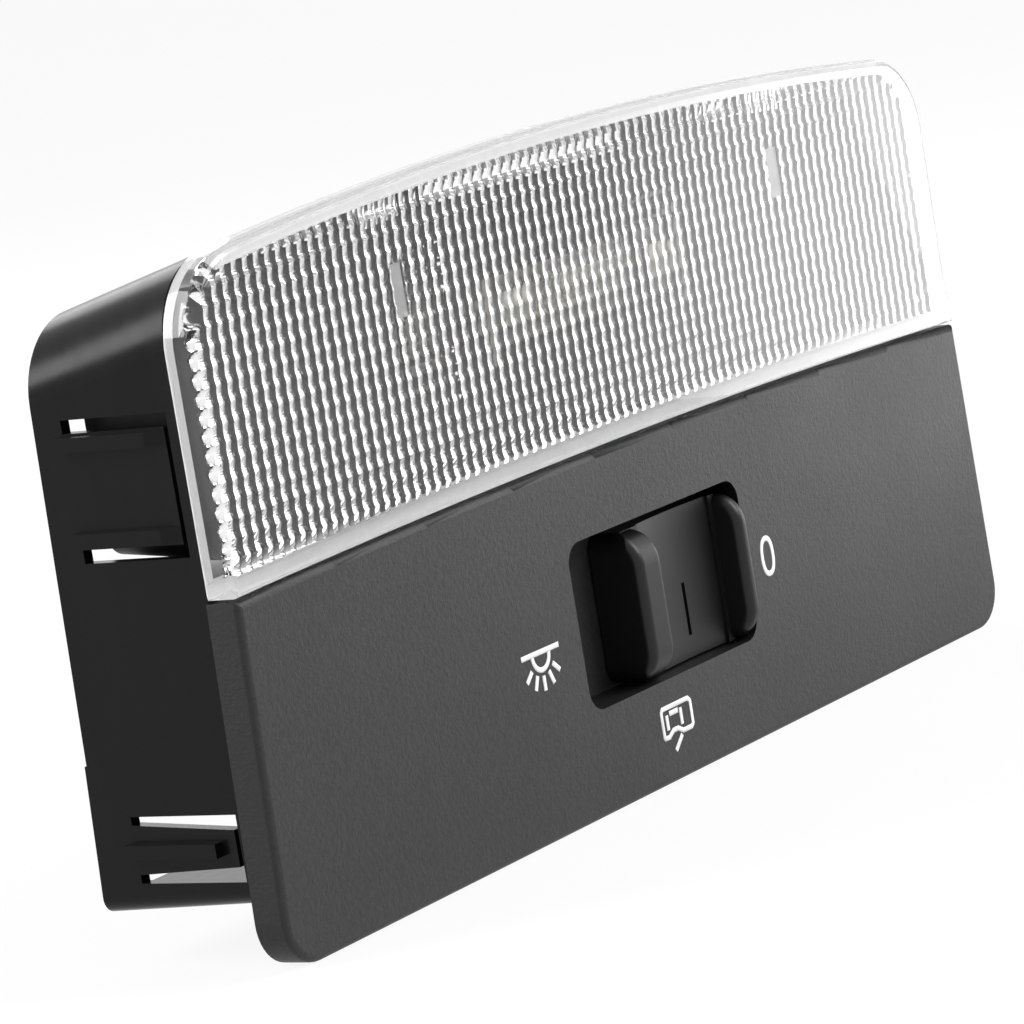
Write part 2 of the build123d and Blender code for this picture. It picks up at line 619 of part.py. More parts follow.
def switch_knob():
    """A slide with a ridge at each end and a hollow for the fingertip between them."""
    crest = Y_FACE - KNOB_PROUD
    base = Y_WELL_FLOOR - KNOB_LIFT
    saddle = crest + SADDLE_DEPTH
    left = KNOB_LEFT + LEFT_RIDGE_WIDTH + SADDLE_LEDGE
    right = KNOB_RIGHT - RIGHT_RIDGE_WIDTH - SADDLE_LEDGE
    middle = (left + right) / 2
    edges = [
        Polyline(
            (left, saddle),
            (left, saddle - SADDLE_STEP),
            (KNOB_LEFT, saddle - SADDLE_STEP),
            (KNOB_LEFT, base),
            (KNOB_RIGHT, base),
            (KNOB_RIGHT, saddle - SADDLE_STEP),
            (right, saddle - SADDLE_STEP),
            (right, saddle),
        ),
        ThreePointArc((right, saddle), (middle, saddle + SADDLE_SAG), (left, saddle)),
    ]
    height = KNOB_TOP - KNOB_BOTTOM
    body = extrude(Plane.XY.offset(KNOB_BOTTOM) * make_face(edges), amount=height, dir=(0, 0, 1))
    body += knob_ridge(KNOB_LEFT, LEFT_RIDGE_WIDTH, crest, base)
    body += knob_ridge(KNOB_RIGHT - RIGHT_RIDGE_WIDTH, RIGHT_RIDGE_WIDTH, crest, base)
    plan = Pos((KNOB_LEFT + KNOB_RIGHT) / 2, KNOB_CENTRE)
    plan *= RectangleRounded(KNOB_WIDTH, height, WELL_RADIUS - KNOB_GAP)
    body &= prism(plan, crest - KNOB_PROUD, base + KNOB_LIFT)
    mark_x = (middle + MARK_OFFSET - MARK_WIDTH / 2, middle + MARK_OFFSET + MARK_WIDTH / 2)
    body -= block(mark_x, (crest, saddle + SADDLE_SAG + MARK_DEPTH), (KNOB_CENTRE - MARK_LENGTH, KNOB_CENTRE))
    return body + knob_stem(base)


def knob_ridge(x_low, width, crest, base):
    """One upright plate of the knob, with well-rounded ends and softened edges."""
    plate = block((x_low, x_low + width), (crest, base), (KNOB_BOTTOM, KNOB_TOP))
    plate = fillet(plate.edges().filter_by(Axis.X).group_by(Axis.Y)[0], RIDGE_END_RADIUS)
    sides = plate.faces().filter_by(Plane.YZ)
    return fillet(sides.edges().filter_by(lambda edge: edge.center().Y < base - KNOB_LIFT), RIDGE_RADIUS)


def knob_stem(base):
    """The stem that passes through the well's floor and clips behind the carriage."""
    half = STEM_HEIGHT / 2
    tall = (-half - WELL_DROP, half - WELL_DROP)
    stem_x = (STEM_X - STEM_WIDTH / 2, STEM_X + STEM_WIDTH / 2)
    stem = block(stem_x, (base - KNOB_LIFT, Y_BARB), tall)
    barb_z = (tall[0] - STEM_BARB, tall[1] + STEM_BARB)
    return stem + block(stem_x, (Y_CARRIAGE_BACK, Y_BARB), barb_z)


def contact_carriage():
    """The plate behind the well that the stem clips into and that carries the bridge contact."""
    span = (STEM_X - CARRIAGE_LEFT, STEM_X + CARRIAGE_RIGHT)
    tall = (-CARRIAGE_HEIGHT / 2 - WELL_DROP, CARRIAGE_HEIGHT / 2 - WELL_DROP)
    body = block(span, (Y_CARRIAGE, Y_CARRIAGE_BACK), tall)
    half_x = STEM_WIDTH / 2 + CARRIAGE_FIT
    half_z = STEM_HEIGHT / 2 + CARRIAGE_FIT
    hole_z = (-half_z - WELL_DROP, half_z - WELL_DROP)
    body -= block((STEM_X - half_x, STEM_X + half_x), (Y_CARRIAGE, Y_CARRIAGE_BACK), hole_z)
    peg_end = Y_CARRIAGE_BACK + BRIDGE_THICKNESS
    return body + rod_y(BRIDGE_X, -WELL_DROP, PEG_RADIUS, Y_CARRIAGE, peg_end)


def bridge_contact():
    """A spring leaf with a round dimple at each end, one for the track and one for the pads."""
    half_x = BRIDGE_WIDTH / 2
    tall = (PAD_Z - BRIDGE_END, TRACK_Z + BRIDGE_END)
    leaf_y = (Y_CARRIAGE_BACK, Y_CARRIAGE_BACK + BRIDGE_THICKNESS)
    leaf = block((BRIDGE_X - half_x, BRIDGE_X + half_x), leaf_y, tall)
    leaf -= rod_y(BRIDGE_X, -WELL_DROP, PEG_RADIUS, leaf_y[0], leaf_y[1])
    for z in (TRACK_Z, PAD_Z):
        ball = Pos(BRIDGE_X, leaf_y[1] + DIMPLE_HEIGHT - DIMPLE_RADIUS, z) * Sphere(DIMPLE_RADIUS)
        room = (leaf_y[1] - BRIDGE_THICKNESS / 2, leaf_y[1] + DIMPLE_HEIGHT)
        around = (z - DIMPLE_RADIUS, z + DIMPLE_RADIUS)
        leaf += ball & block((BRIDGE_X - DIMPLE_RADIUS, BRIDGE_X + DIMPLE_RADIUS), room, around)
    return leaf


def contact_base():
    plate = block((-BASE_LEFT, LAMP_RUN_RIGHT + BASE_EDGE), (Y_BASE, Y_BASE_BACK), (BASE_BOTTOM, BASE_TOP))
    for x, z in post_places():
        plate -= rod_y(x, z, POST_PIN_RADIUS, Y_BASE, Y_BASE_BACK)
    return plate


def on_base(x_range, z_range):
    """A piece of strip that lies on the front of the contact base."""
    return block(x_range, (Y_TRACK, Y_BASE), z_range)


def lamp_strip():
    """From the switch's long track, over the top of the base and up the right bar to its rivet."""
    track_z = (TRACK_Z - TRACK_WIDTH / 2, TRACK_Z + TRACK_WIDTH / 2)
    left = BRIDGE_X - TRAVEL - TRACK_OVERRUN
    strip = on_base((left, LAMP_RUN_RIGHT), track_z)
    run = (LAMP_RUN_LEFT, LAMP_RUN_RIGHT)
    over = (BASE_TOP, BASE_TOP + STRIP_THICKNESS)
    strip += on_base(run, (track_z[0], over[1]))
    bar_back = (Y_BAR_REAR, Y_BAR_REAR + STRIP_THICKNESS)
    strip += block(run, (Y_TRACK, bar_back[1]), over)
    head_z = (BULB_LEVEL - RIVET_HEAD_RADIUS, BULB_LEVEL + RIVET_HEAD_RADIUS)
    strip += block(run, bar_back, (over[0], head_z[1]))
    half = SUPPLY_STRIP_WIDTH / 2
    strip += block((min(run[0], RIVET_X - half), max(run[1], RIVET_X + half)), bar_back, head_z)
    return strip - rod_y(RIVET_X, BULB_LEVEL, RIVET_RADIUS, bar_back[0], bar_back[1])


def supply_strip():
    """From the left rivet down the left bar to its own blade."""
    half = SUPPLY_STRIP_WIDTH / 2
    run = (-RIVET_X - half, -RIVET_X + half)
    bar_back = (Y_BAR_REAR, Y_BAR_REAR + STRIP_THICKNESS)
    head = BULB_LEVEL + RIVET_HEAD_RADIUS
    strip = block(run, bar_back, (BASE_TOP - BLADE_WIDTH, head))
    tip = SUPPLY_BLADE_INSET - HOUSING_HALF
    strip += block((tip, run[1]), bar_back, (BASE_TOP - BLADE_WIDTH, BASE_TOP))
    return strip - rod_y(-RIVET_X, BULB_LEVEL, RIVET_RADIUS, bar_back[0], bar_back[1])


def switch_blade(right, z_range):
    """A blade on the base's left end, run out towards the housing's side."""
    return on_base((SWITCH_BLADE_INSET - HOUSING_HALF, right), z_range)


def pad_span(places_from_rest):
    """The pad under the bridge contact when the slide is that many places left of its rest."""
    centre = BRIDGE_X - places_from_rest * TRAVEL / 2
    return (centre - TRACK_PAD_WIDTH / 2, centre + TRACK_PAD_WIDTH / 2)


def earth_strip():
    """The pad under the bridge at the left place, run straight out to its blade."""
    pad = pad_span(2)
    strip_z = (PAD_Z - BLADE_WIDTH / 2, PAD_Z + BLADE_WIDTH / 2)
    return switch_blade(pad[1], strip_z)


def door_strip():
    """The pad at the middle place, led above the earth pad and up to its blade."""
    pad = pad_span(1)
    pad_top = PAD_Z + BLADE_WIDTH / 2
    lane = (pad_top + STRIP_GAP, pad_top + STRIP_GAP + STRIP_WIDTH)
    strip = on_base(pad, (PAD_Z - BLADE_WIDTH / 2, lane[1]))
    riser = BRIDGE_X - TRAVEL - TRACK_OVERRUN - STRIP_GAP - STRIP_WIDTH
    strip += on_base((riser, pad[1]), lane)
    blade_z = (BASE_TOP - STRIP_GAP - BLADE_WIDTH, BASE_TOP - STRIP_GAP)
    strip += on_base((riser, riser + STRIP_WIDTH), (lane[0], blade_z[1]))
    return strip + switch_blade(riser + STRIP_WIDTH, blade_z)


def main():
    nodes = {
        "housing": housing(),
        "face_panel": face_panel(),
        "lens": lens(),
        "reflector": reflector(),
        "bulb_glass": bulb_glass(),
        "bulb_cap_left": bulb_cap(-1),
        "bulb_cap_right": bulb_cap(1),
        "bulb_filament": bulb_filament(),
        "bulb_spring_left": bulb_spring(-1),
        "bulb_spring_right": bulb_spring(1),
        "spring_rivet_left": spring_rivet(-1),
        "spring_rivet_right": spring_rivet(1),
        "switch_knob": switch_knob(),
        "contact_carriage": contact_carriage(),
        "bridge_contact": bridge_contact(),
        "contact_base": contact_base(),
        "lamp_strip": lamp_strip(),
        "supply_strip": supply_strip(),
        "earth_strip": earth_strip(),
        "door_strip": door_strip(),
    }
    os.makedirs("parts", exist_ok=True)
    for name, shape in nodes.items():
        export_step(shape, f"parts/{name}.step")


main()
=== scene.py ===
import math
import bpy
from mathutils import Matrix, Vector


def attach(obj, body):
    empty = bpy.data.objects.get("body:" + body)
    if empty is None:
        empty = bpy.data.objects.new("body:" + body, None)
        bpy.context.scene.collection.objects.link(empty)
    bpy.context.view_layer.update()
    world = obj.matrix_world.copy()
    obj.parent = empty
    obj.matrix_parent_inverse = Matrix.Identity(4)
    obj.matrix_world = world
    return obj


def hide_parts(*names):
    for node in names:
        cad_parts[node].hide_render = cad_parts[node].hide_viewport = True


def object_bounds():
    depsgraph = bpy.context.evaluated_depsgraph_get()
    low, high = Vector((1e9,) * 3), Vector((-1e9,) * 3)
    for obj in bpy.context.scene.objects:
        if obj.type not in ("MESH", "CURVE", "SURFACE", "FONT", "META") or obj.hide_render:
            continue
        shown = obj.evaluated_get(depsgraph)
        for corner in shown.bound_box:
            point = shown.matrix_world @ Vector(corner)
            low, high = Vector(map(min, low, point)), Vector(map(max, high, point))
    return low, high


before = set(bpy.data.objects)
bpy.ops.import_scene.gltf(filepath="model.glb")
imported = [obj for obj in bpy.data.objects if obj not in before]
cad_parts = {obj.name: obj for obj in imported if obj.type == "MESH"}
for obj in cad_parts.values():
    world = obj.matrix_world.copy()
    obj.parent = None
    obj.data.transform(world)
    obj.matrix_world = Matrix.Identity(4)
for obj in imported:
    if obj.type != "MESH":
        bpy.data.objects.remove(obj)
cad_box = [list(corner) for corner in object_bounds()]

# Sizes in millimetres: the outline, walls, lugs and pitch are those of the part's source
MM = 0.001
HALF_WIDTH = 60.0
LENS_SIDE_HEIGHT = 26.2
LENS_CROWN = 3.0
JOINT_CROWN = 1.0
TOP_CORNER_RADIUS = 7.5
FACE_Y = -3.4
SEAT_STEP = 0.3
LENS_WALL = 1.5
LENS_FRONT = 1.9
LENS_EDGE_RADIUS = 0.9
LUG_OFFSET = 31.5
LUG_LENGTH = 3.0
LUG_WIDTH = 6.0
LUG_THICKNESS = 1.0
LUG_DROP = 2.45
FLUTE_PITCH = 1.5

# The lens's fine edges, relief and windows, matched to the photograph
AIR_GAP = 0.06
MEET_Y = -SEAT_STEP - AIR_GAP
LENS_JOINT_EDGE_RADIUS = 0.25
EDGE_BLEND_SHARE = 0.2
LENS_REAR_EDGE_RADIUS = 0.25
LENS_RIM_CHAMFER = 0.4
FLUTE_DEPTH = 0.3
FLUTE_CREST = 0.625
FLUTE_RISE_POWER = 1.3
FLUTE_FALL_POWER = 1.5
WAVE_DEPTH = 0.2
WINDOW_MIDDLE = 0.65
WINDOW_OFFSET = 31.05
WINDOW_LEVEL = 19.3
WINDOW_HEIGHT = 4.4
WINDOW_WIDTH = 1.7

# How finely the lens is divided
COLUMNS_PER_FLUTE = 8
CORNER_COLUMN_GAPS = (0.1, 0.05, 0.02, 0.005)
ROWS_PER_WAVE = 6
EDGE_STEPS = 6
RIM_BANDS = 3
LUG_STEPS = 6
SHARP_DEGREES = 40

# Printed symbols
PRINT_THICKNESS = 0.03
PRINT_STROKE = 0.46
OFF_STROKE = 0.5

# Levels of the stage, where 1 is white
FLOOR_GLOW = 0.9
WORLD_LEVEL = 0.45


# Colour and node helpers

def linear(hex_colour):
    """An sRGB hex colour as linear red, green, blue and a full alpha."""
    values = [int(hex_colour[i:i + 2], 16) / 255 for i in (1, 3, 5)]
    return [v / 12.92 if v <= 0.04045 else ((v + 0.055) / 1.055) ** 2.4 for v in values] + [1.0]


def add_node(tree, kind, links=None, **settings):
    """One node: settings are its properties, values fill its inputs, and links feed them from other nodes."""
    node = tree.nodes.new(kind)
    values = settings.pop("values", {})
    for name, value in settings.items():
        setattr(node, name, value)
    for socket, value in values.items():
        node.inputs[socket].default_value = value
    for socket, source in (links or {}).items():
        tree.links.new(source, node.inputs[socket])
    return node


def new_material(name):
    """An empty material with its node tree and its shader."""
    material = bpy.data.materials.new(name)
    material.use_nodes = True
    tree = material.node_tree
    return material, tree, tree.nodes["Principled BSDF"]


def per_mm(size):
    """A texture scale whose features are about this many millimetres across."""
    return 1 / (size * MM)


# Materials

def grained_panel_abs():
    """Spark-eroded ABS: a fine matt grain breaks the face's sheen into specks; faces that turn away from the
    front, the outer sides and the switch well's walls, get a plain blacker colour, which is painted shade.
    """
    material, tree, shader = new_material("grained_panel_abs")
    coords = add_node(tree, "ShaderNodeTexCoord")
    place = coords.outputs["Object"]
    # Painted shade: a mask from how far each face turns from the front; the sides and the switch well's walls
    # get the blacker colour set below
    facing = add_node(tree, "ShaderNodeSeparateXYZ", {"Vector": coords.outputs["Normal"]})
    face = add_node(tree, "ShaderNodeMapRange", {"Value": facing.outputs["Y"]},
                    values={"From Min": -0.35, "From Max": -0.9})
    grain = add_node(tree, "ShaderNodeTexNoise", {"Vector": place},
                     values={"Scale": per_mm(0.4), "Detail": 4.0, "Roughness": 0.7})
    patches = add_node(tree, "ShaderNodeTexNoise", {"Vector": place},
                       values={"Scale": per_mm(14), "Detail": 2.0})
    tone = add_node(tree, "ShaderNodeValToRGB", {"Fac": grain.outputs["Fac"]})
    tone.color_ramp.elements[0].position = 0.3
    tone.color_ramp.elements[0].color = linear("#1c1c1d")
    tone.color_ramp.elements[1].position = 0.72
    tone.color_ramp.elements[1].color = linear("#2a2a2b")
    feeds = {"Factor": face.outputs["Result"], "B": tone.outputs["Color"]}
    shade = add_node(tree, "ShaderNodeMix", feeds, data_type="RGBA")
    # The painted shade colour of the sides and the switch well's walls
    shade.inputs["A"].default_value = linear("#080809")
    tree.links.new(shade.outputs["Result"], shader.inputs["Base Color"])
    rough = add_node(tree, "ShaderNodeMapRange", {"Value": patches.outputs["Fac"]},
                     values={"To Min": 0.44, "To Max": 0.56})
    tree.links.new(rough.outputs["Result"], shader.inputs["Roughness"])
    bump = add_node(tree, "ShaderNodeBump", {"Height": grain.outputs["Fac"]},
                    values={"Strength": 0.7, "Distance": 0.08 * MM})
    tree.links.new(bump.outputs["Normal"], shader.inputs["Normal"])
    shader.inputs["IOR"].default_value = 1.52
    shader.inputs["Specular IOR Level"].default_value = 0.37
    return material


def moulded_plastic(name, colour, roughness, streaks, shine):
    """Smooth moulded plastic, with the faint tool streaks that a milled mould leaves across its draw."""
    material, tree, shader = new_material(name)
    place = add_node(tree, "ShaderNodeTexCoord").outputs["Object"]
    stretch = add_node(tree, "ShaderNodeMapping", {"Vector": place}, values={"Scale": (0.15, 1.0, 0.15)})
    flow = add_node(tree, "ShaderNodeTexNoise", {"Vector": stretch.outputs["Vector"]},
                    values={"Scale": per_mm(1.6), "Detail": 4.0})
    fine = add_node(tree, "ShaderNodeTexNoise", {"Vector": place},
                    values={"Scale": per_mm(0.4), "Detail": 2.0})
    rough = add_node(tree, "ShaderNodeMapRange", {"Value": flow.outputs["Fac"]},
                     values={"To Min": roughness - 0.05, "To Max": roughness + 0.08})
    tree.links.new(rough.outputs["Result"], shader.inputs["Roughness"])
    shade = add_node(tree, "ShaderNodeMix", {"Factor": flow.outputs["Fac"]}, data_type="RGBA")
    shade.inputs["A"].default_value = [c * 0.85 for c in linear(colour)[:3]] + [1.0]
    shade.inputs["B"].default_value = [c * 1.15 for c in linear(colour)[:3]] + [1.0]
    tree.links.new(shade.outputs["Result"], shader.inputs["Base Color"])
    wave = add_node(tree, "ShaderNodeBump", {"Height": flow.outputs["Fac"]},
                    values={"Strength": streaks, "Distance": 0.03 * MM})
    bump = add_node(tree, "ShaderNodeBump",
                    {"Height": fine.outputs["Fac"], "Normal": wave.outputs["Normal"]},
                    values={"Strength": 0.12, "Distance": 0.02 * MM})
    tree.links.new(bump.outputs["Normal"], shader.inputs["Normal"])
    shader.inputs["IOR"].default_value = 1.5
    shader.inputs["Specular IOR Level"].default_value = shine
    return material


def lacquered_sheet():
    """Pressed aluminium under black lacquer: dark, with an orange-peel ripple in its dull gloss."""
    material, tree, shader = new_material("black_lacquered_sheet")
    place = add_node(tree, "ShaderNodeTexCoord").outputs["Object"]
    peel = add_node(tree, "ShaderNodeTexNoise", {"Vector": place},
                    values={"Scale": per_mm(1.2), "Detail": 2.0})
    shade = add_node(tree, "ShaderNodeMix", {"Factor": peel.outputs["Fac"]}, data_type="RGBA")
    shade.inputs["A"].default_value = linear("#0d0d0e")
    shade.inputs["B"].default_value = linear("#161617")
    tree.links.new(shade.outputs["Result"], shader.inputs["Base Color"])
    rough = add_node(tree, "ShaderNodeMapRange", {"Value": peel.outputs["Fac"]},
                     values={"To Min": 0.38, "To Max": 0.5})
    tree.links.new(rough.outputs["Result"], shader.inputs["Roughness"])
    bump = add_node(tree, "ShaderNodeBump", {"Height": peel.outputs["Fac"]},
                    values={"Strength": 0.2, "Distance": 0.05 * MM})
    tree.links.new(bump.outputs["Normal"], shader.inputs["Normal"])
    shader.inputs["IOR"].default_value = 1.5
    shader.inputs["Specular IOR Level"].default_value = 0.25
    return material


def clear_acrylic():
    """Polished PMMA: water clear, so its flutes only bend what lies behind them."""
    material, tree, shader = new_material("clear_acrylic")
    place = add_node(tree, "ShaderNodeTexCoord").outputs["Object"]
    haze = add_node(tree, "ShaderNodeTexNoise", {"Vector": place},
                    values={"Scale": per_mm(6), "Detail": 3.0})
    rough = add_node(tree, "ShaderNodeMapRange", {"Value": haze.outputs["Fac"]},
                     values={"To Min": 0.0, "To Max": 0.03})
    tree.links.new(rough.outputs["Result"], shader.inputs["Roughness"])
    shader.inputs["Base Color"].default_value = linear("#fcfdfd")
    shader.inputs["IOR"].default_value = 1.49
    shader.inputs["Transmission Weight"].default_value = 1.0
    return material


def ground_acrylic(name, clearness):
    """Matt moulded acrylic of the lens's rim and windows: it scatters light that the clear body pipes in."""
    material, tree, shader = new_material(name)
    place = add_node(tree, "ShaderNodeTexCoord").outputs["Object"]
    grit = add_node(tree, "ShaderNodeTexNoise", {"Vector": place},
                    values={"Scale": per_mm(0.7), "Detail": 3.0})
    shade = add_node(tree, "ShaderNodeMix", {"Factor": grit.outputs["Fac"]}, data_type="RGBA")
    shade.inputs["A"].default_value = linear("#efefee")
    shade.inputs["B"].default_value = linear("#fdfdfc")
    tree.links.new(shade.outputs["Result"], shader.inputs["Base Color"])
    rough = add_node(tree, "ShaderNodeMapRange", {"Value": grit.outputs["Fac"]},
                     values={"To Min": 0.5, "To Max": 0.7})
    tree.links.new(rough.outputs["Result"], shader.inputs["Roughness"])
    shader.inputs["IOR"].default_value = 1.49
    shader.inputs["Transmission Weight"].default_value = clearness
    return material


def bulb_glass():
    """Thin blown glass with the faint warm tint of a used bulb."""
    material, tree, shader = new_material("bulb_glass")
    place = add_node(tree, "ShaderNodeTexCoord").outputs["Object"]
    smoke = add_node(tree, "ShaderNodeTexNoise", {"Vector": place},
                     values={"Scale": per_mm(5), "Detail": 2.0})
    tint = add_node(tree, "ShaderNodeMix", {"Factor": smoke.outputs["Fac"]}, data_type="RGBA")
    tint.inputs["A"].default_value = linear("#fffdf4")
    tint.inputs["B"].default_value = linear("#f7efd8")
    tree.links.new(tint.outputs["Result"], shader.inputs["Base Color"])
    shader.inputs["Roughness"].default_value = 0.02
    shader.inputs["IOR"].default_value = 1.5
    shader.inputs["Transmission Weight"].default_value = 1.0
    return material


def metal(name, light, dark, roughness, streak_mm):
    """Rolled sheet or drawn wire: a metal with a fine rolling grain along X."""
    material, tree, shader = new_material(name)
    place = add_node(tree, "ShaderNodeTexCoord").outputs["Object"]
    stretch = add_node(tree, "ShaderNodeMapping", {"Vector": place}, values={"Scale": (0.08, 1.0, 1.0)})
    grain = add_node(tree, "ShaderNodeTexNoise", {"Vector": stretch.outputs["Vector"]},
                     values={"Scale": per_mm(streak_mm), "Detail": 3.0})
    shade = add_node(tree, "ShaderNodeMix", {"Factor": grain.outputs["Fac"]}, data_type="RGBA")
    shade.inputs["A"].default_value = linear(dark)
    shade.inputs["B"].default_value = linear(light)
    tree.links.new(shade.outputs["Result"], shader.inputs["Base Color"])
    rough = add_node(tree, "ShaderNodeMapRange", {"Value": grain.outputs["Fac"]},
                     values={"To Min": roughness - 0.06, "To Max": roughness + 0.06})
    tree.links.new(rough.outputs["Result"], shader.inputs["Roughness"])
    shader.inputs["Metallic"].default_value = 1.0
    return material


def white_print():
    """Pad-printed ink: matt white, a little uneven where the grain shows through."""
    material, tree, shader = new_material("white_print")
    place = add_node(tree, "ShaderNodeTexCoord").outputs["Object"]
    grain = add_node(tree, "ShaderNodeTexNoise", {"Vector": place},
                     values={"Scale": per_mm(0.4), "Detail": 2.0})
    shade = add_node(tree, "ShaderNodeMix", {"Factor": grain.outputs["Fac"]}, data_type="RGBA")
    shade.inputs["A"].default_value = linear("#e2e2e2")
    shade.inputs["B"].default_value = linear("#ffffff")
    tree.links.new(shade.outputs["Result"], shader.inputs["Base Color"])
    shader.inputs["Roughness"].default_value = 0.6
    return material


PANEL_ABS = grained_panel_abs()
HOUSING_BLACK = moulded_plastic("housing_black_abs", "#0b0b0c", 0.22, 0.25, 0.16)
KNOB_BLACK = moulded_plastic("knob_black_abs", "#131314", 0.36, 0.08, 0.32)
CARRIAGE_ACETAL = moulded_plastic("carriage_acetal", "#d9d6cc", 0.4, 0.05, 0.5)
BASE_BOARD = moulded_plastic("base_phenolic", "#55402e", 0.55, 0.1, 0.5)
ACRYLIC = clear_acrylic()
GROUND_RIM = ground_acrylic("ground_acrylic_rim", 0.1)
SATIN_WINDOW = ground_acrylic("satin_acrylic_window", 0.6)
GLASS = bulb_glass()
LACQUERED_SHEET = lacquered_sheet()
STAMPED_BRASS = metal("stamped_brass", "#d8b36a", "#c29a50", 0.3, 0.25)
NICKEL_PLATE = metal("dulled_nickel_plate", "#8f8c84", "#6d6a63", 0.38, 0.2)
TUNGSTEN = metal("tungsten", "#8c8c8e", "#6f6f72", 0.4, 0.1)
PRINT_WHITE = white_print()


def dress(node, material):
    """Gives a solid one material all over."""
    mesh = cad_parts[node].data
    mesh.materials.clear()
    mesh.materials.append(material)


FINISHES = {
    "housing": HOUSING_BLACK,
    "face_panel": PANEL_ABS,
    "lens": ACRYLIC,
    "reflector": LACQUERED_SHEET,
    "bulb_glass": GLASS,
    "bulb_cap_left": NICKEL_PLATE,
    "bulb_cap_right": NICKEL_PLATE,
    "bulb_filament": TUNGSTEN,
    "bulb_spring_left": NICKEL_PLATE,
    "bulb_spring_right": NICKEL_PLATE,
    "spring_rivet_left": NICKEL_PLATE,
    "spring_rivet_right": NICKEL_PLATE,
    "switch_knob": KNOB_BLACK,
    "contact_carriage": CARRIAGE_ACETAL,
    "bridge_contact": STAMPED_BRASS,
    "contact_base": BASE_BOARD,
    "lamp_strip": STAMPED_BRASS,
    "supply_strip": STAMPED_BRASS,
    "earth_strip": STAMPED_BRASS,
    "door_strip": STAMPED_BRASS,
}
for node_name, finish in FINISHES.items():
    dress(node_name, finish)


# Lens: a closed shell; its outline is walked in stations, each a place on it that an inset draws in

TOP_ARC = (HALF_WIDTH ** 2 + LENS_CROWN ** 2) / (2 * LENS_CROWN)
TOP_ARC_Z = LENS_SIDE_HEIGHT + LENS_CROWN - TOP_ARC
JOINT_ARC = (HALF_WIDTH ** 2 + JOINT_CROWN ** 2) / (2 * JOINT_CROWN)
JOINT_ARC_Z = JOINT_CROWN - JOINT_ARC
CORNER_X = HALF_WIDTH - TOP_CORNER_RADIUS
CORNER_Z = TOP_ARC_Z + math.sqrt((TOP_ARC - TOP_CORNER_RADIUS) ** 2 - CORNER_X ** 2)


def joint_edge(x, inset):
    """Height of the lens's lower edge at x, a hair clear of the panel, so that light turns back inside."""
    return JOINT_ARC_Z + math.sqrt((JOINT_ARC + AIR_GAP + inset) ** 2 - x * x)


def top_edge(x, inset):
    """Height of the lens's top edge at x, from the crown's arc or the corner's."""
    crown = TOP_ARC - inset
    if abs(x) <= crown * CORNER_X / (TOP_ARC - TOP_CORNER_RADIUS):
        return TOP_ARC_Z + math.sqrt(crown ** 2 - x * x)
    corner = TOP_CORNER_RADIUS - inset
    return CORNER_Z + math.sqrt(max(corner ** 2 - (abs(x) - CORNER_X) ** 2, 0))


def flute_columns():
    """Places across the lens: eight to a flute, closer where the corner turns down into the side."""
    reach = HALF_WIDTH - LENS_WALL
    steps = round(2 * reach / FLUTE_PITCH) * COLUMNS_PER_FLUTE
    columns = [-reach + 2 * reach * i / steps for i in range(steps + 1)]
    extra = [reach - gap for gap in CORNER_COLUMN_GAPS]
    return sorted(columns + extra + [-x for x in extra])


def stations(columns, side_shares):
    """Walks the outline once round: joint edge to the right, right side, top to the left, left side."""
    reach = HALF_WIDTH - LENS_WALL
    walk = [("joint", x / reach) for x in columns]
    walk += [("right", share) for share in side_shares]
    for x in reversed(columns):
        rise = top_edge(x, LENS_WALL)
        if abs(x) <= (TOP_ARC - LENS_WALL) * CORNER_X / (TOP_ARC - TOP_CORNER_RADIUS):
            walk.append(("crown", math.atan2(rise - TOP_ARC_Z, x)))
        else:
            turn = math.atan2(rise - CORNER_Z, abs(x) - CORNER_X)
            walk.append(("corner", (math.copysign(1, x), turn)))
    walk += [("left", share) for share in reversed(side_shares)]
    return walk


def station_point(station, inset, joint_inset):
    """The x and z of a station, drawn in by its own inset along the joint."""
    kind, at = station
    side = HALF_WIDTH - inset
    if kind == "joint":
        return at * side, joint_edge(at * side, joint_inset)
    if kind == "crown":
        radius = TOP_ARC - inset
        return radius * math.cos(at), TOP_ARC_Z + radius * math.sin(at)
    if kind == "corner":
        radius = TOP_CORNER_RADIUS - inset
        return at[0] * (CORNER_X + radius * math.cos(at[1])), CORNER_Z + radius * math.sin(at[1])
    low = joint_edge(side, joint_inset)
    height = low + at * (CORNER_Z - low)
    return (side, height) if kind == "right" else (-side, height)


def edge_radius(station):
    """The front edge is well rounded, but nearly square along the joint."""
    kind, at = station
    if kind == "joint":
        return LENS_JOINT_EDGE_RADIUS
    if kind in ("right", "left"):
        blend = min(at / EDGE_BLEND_SHARE, 1.0)
        return LENS_JOINT_EDGE_RADIUS + (LENS_EDGE_RADIUS - LENS_JOINT_EDGE_RADIUS) * blend
    return LENS_EDGE_RADIUS


def relief_grid(columns, points, faces):
    """The fine grid behind the front, in columns along the flutes and rows along the waves, by columns."""
    inner_y = FACE_Y + LENS_FRONT
    step = FLUTE_PITCH / ROWS_PER_WAVE
    levels = [step * k for k in range(int((LENS_SIDE_HEIGHT + LENS_CROWN) / step) + 2)]
    grid = []
    for x in columns:
        low = joint_edge(x, LENS_WALL)
        high = top_edge(x, LENS_WALL)
        first = len(points)
        points.append((x, inner_y, low))
        column = []
        for z in levels:
            if low + step / 4 < z < high - step / 4:
                points.append((x, inner_y, z))
            column.append(len(points) - 1)
        last = len(points)
        points.append((x, inner_y, high))
        rows = [last if z >= high - step / 4 else index for z, index in zip(levels, column)]
        grid.append(rows + [first, last])
    for left, right in zip(grid, grid[1:]):
        for k in range(len(levels) - 1):
            corners = [left[k], left[k + 1], right[k + 1], right[k]]
            face = [c for i, c in enumerate(corners) if c not in corners[:i]]
            if len(face) > 2:
                faces.append(tuple(face))
    return [list(range(column[-2], column[-1] + 1)) for column in grid]


